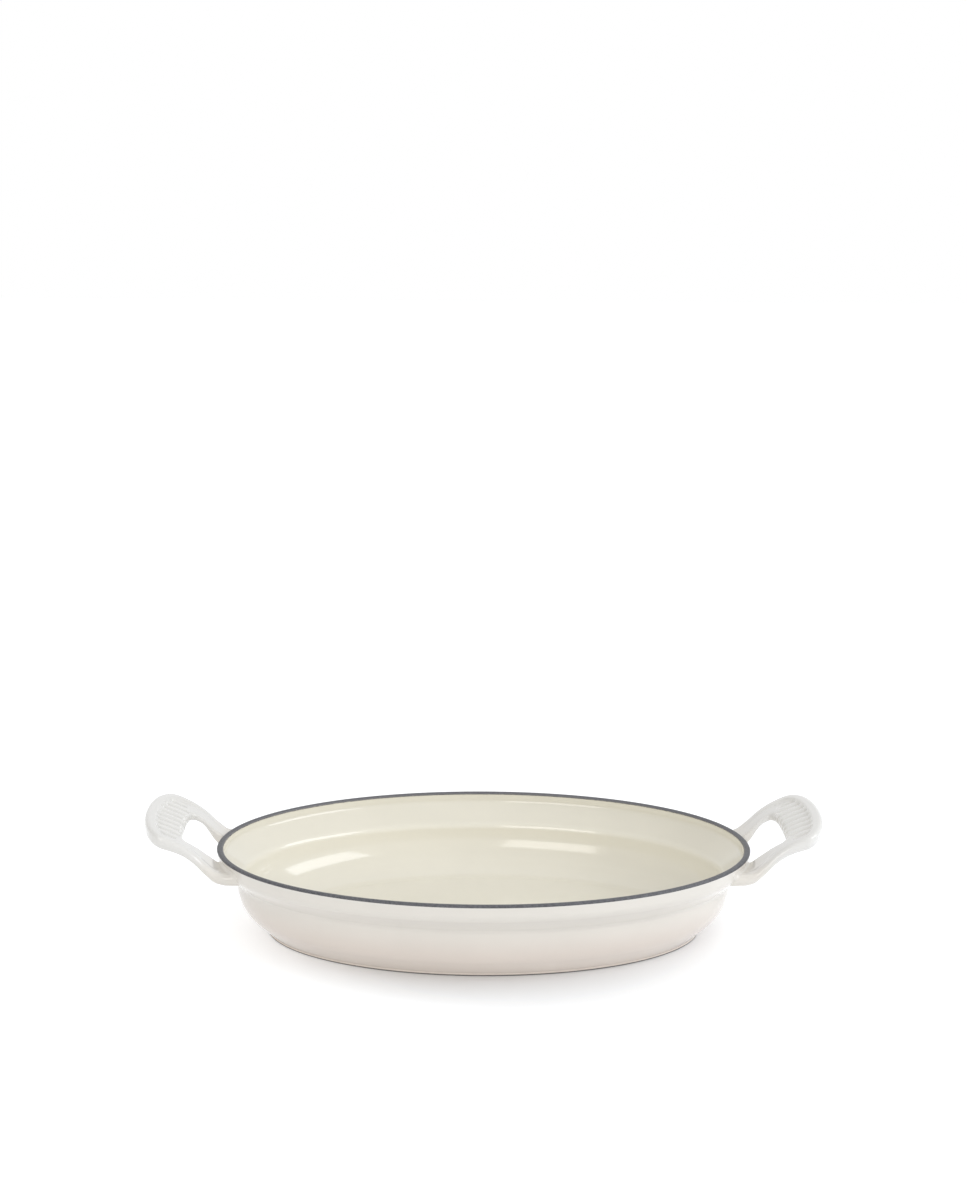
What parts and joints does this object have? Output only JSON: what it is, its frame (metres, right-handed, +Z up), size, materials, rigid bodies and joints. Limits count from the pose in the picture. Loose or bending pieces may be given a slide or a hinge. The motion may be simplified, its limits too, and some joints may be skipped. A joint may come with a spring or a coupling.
{
  "type": "gratin dish",
  "caption": "Shallow oval gratin dish in enamelled cast iron with a stepped rim, rounded belly, foot ring and raised, ribbed loop handles at both ends.",
  "frame": {"origin": "middle of the foot ring, on the surface the dish stands on", "axes": "+X runs through the two handles, +Y across the dish, +Z up"},
  "size_m": [0.3534, 0.2016, 0.0662],
  "materials": {
    "white_enamel": "gloss",
    "sand_enamel": "gloss",
    "dark_enamel": "matte",
    "foot_iron": "matte"
  },
  "bodies": {
    "root": {"bowl": "white_enamel", "left_handle": "white_enamel", "right_handle": "white_enamel", "interior_enamel": "sand_enamel", "rim_enamel": "dark_enamel", "foot_ring": "foot_iron"}
  },
  "joints": []
}
